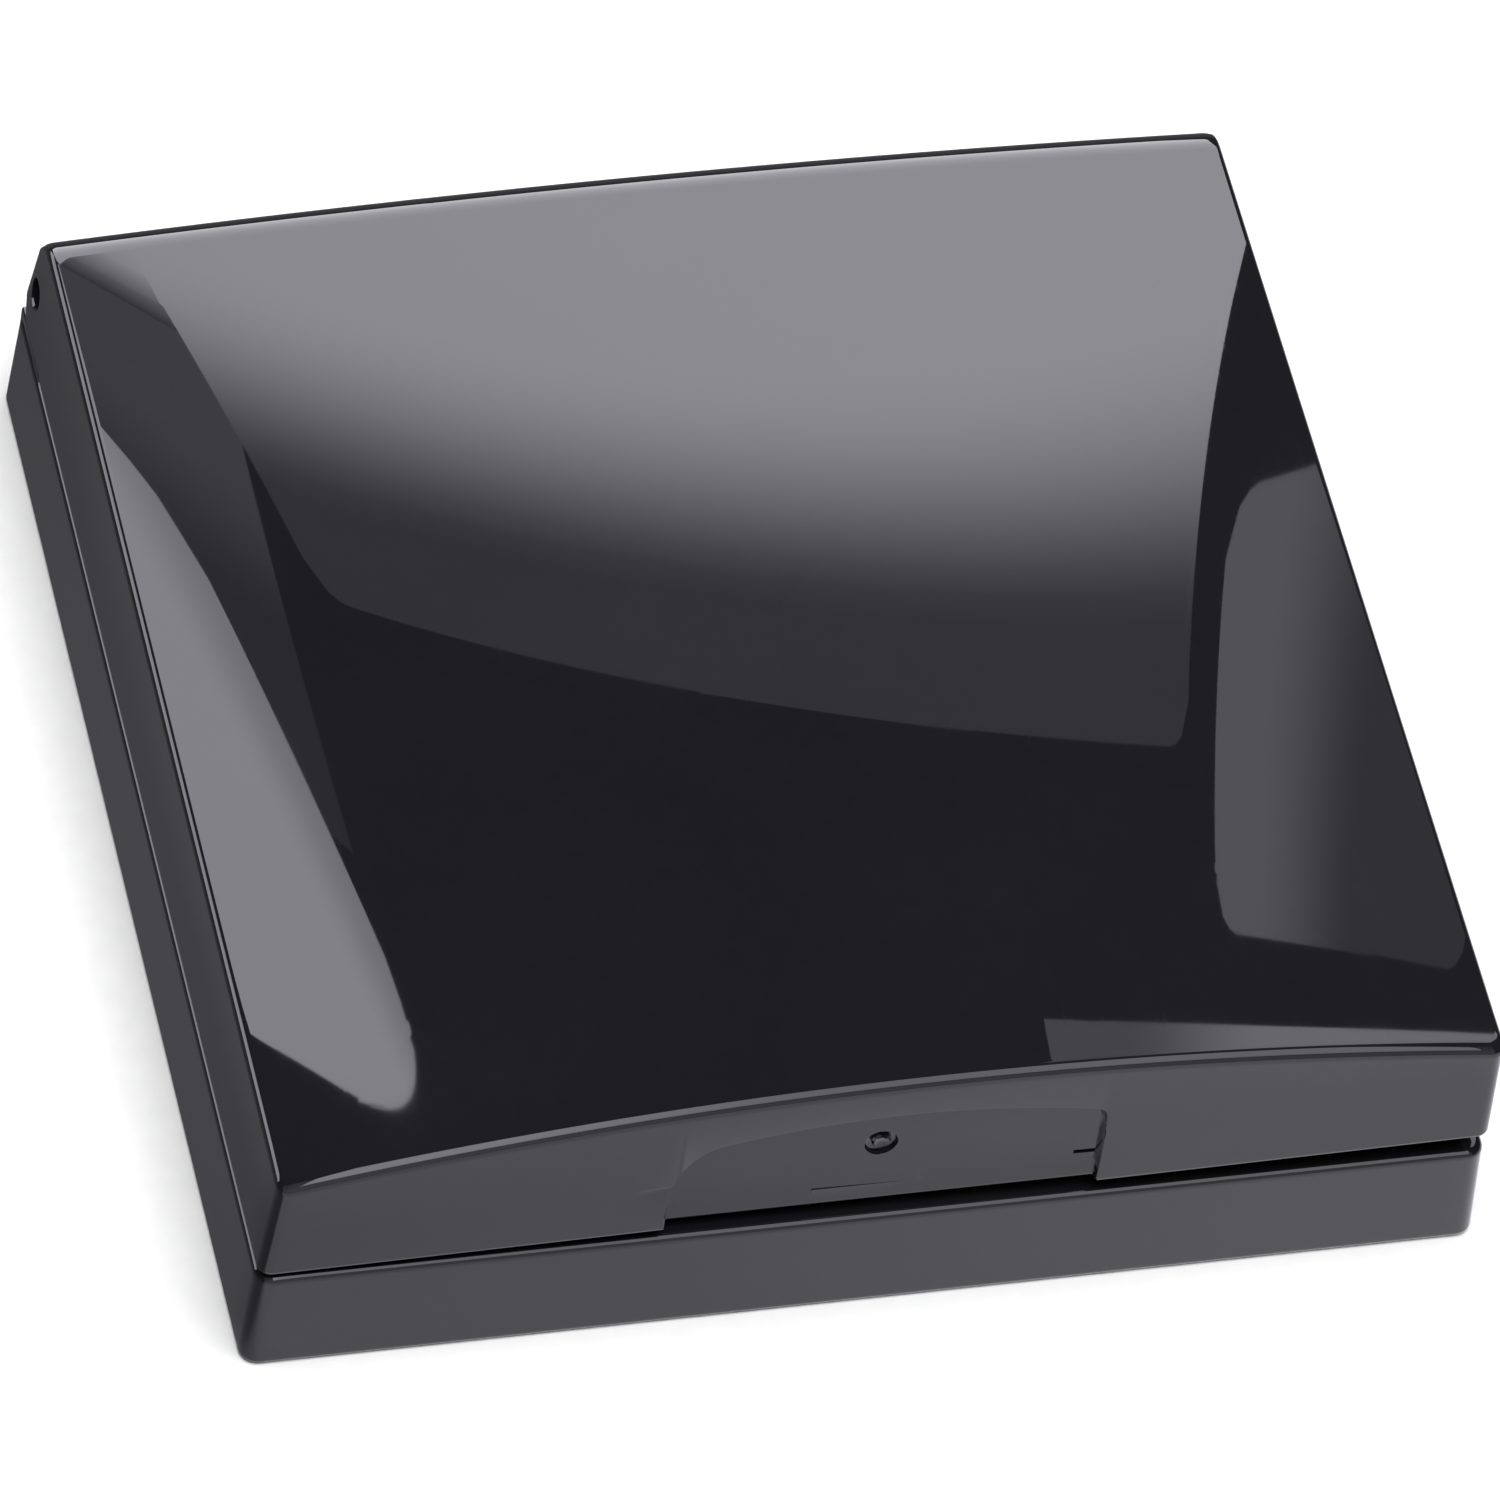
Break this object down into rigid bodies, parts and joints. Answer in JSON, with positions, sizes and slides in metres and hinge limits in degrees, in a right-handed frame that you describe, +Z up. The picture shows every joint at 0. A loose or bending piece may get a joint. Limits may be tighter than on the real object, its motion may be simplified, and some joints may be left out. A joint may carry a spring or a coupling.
{
  "type": "powder compact",
  "caption": "Square black pressed-powder compact with an arched hinged lid, thumb notch, mirror, round powder pan and puff.",
  "frame": {"origin": "middle of the base's footprint, on the table it rests on", "axes": "+Z up through the lid, +Y back towards the hinge, -Y towards the thumb notch, +X to the right seen from the front"},
  "size_m": [0.0726, 0.0732, 0.0186],
  "materials": {
    "gloss_black": "gloss",
    "satin_black": "satin",
    "label_paper": "matte",
    "adhesive": "matte",
    "aluminium": "satin",
    "powder": "matte",
    "clear_sheet": "gloss",
    "velour": "matte",
    "ribbon": "satin",
    "steel": "satin",
    "silvered_glass": "polished"
  },
  "bodies": {
    "base": {"base_shell": "gloss_black", "base_label": "label_paper", "inner_tray": "satin_black", "pan_glue": "adhesive", "powder_pan": "aluminium", "pressed_powder": "powder", "clear_film": "clear_sheet", "puff_pad": "velour", "puff_ribbon": "ribbon", "hinge_pin_left": "steel", "hinge_pin_right": "steel"},
    "lid": {"lid_shell": "gloss_black", "lid_liner": "satin_black", "mirror": "silvered_glass", "mirror_tape": "adhesive"}
  },
  "joints": [
    {"name": "lid_hinge", "type": "hinge", "parent": "base", "child": "lid", "pos_m": [0, 0.0343, 0.0112], "axis": [-1, 0, 0], "range_deg": [0, 120]}
  ]
}
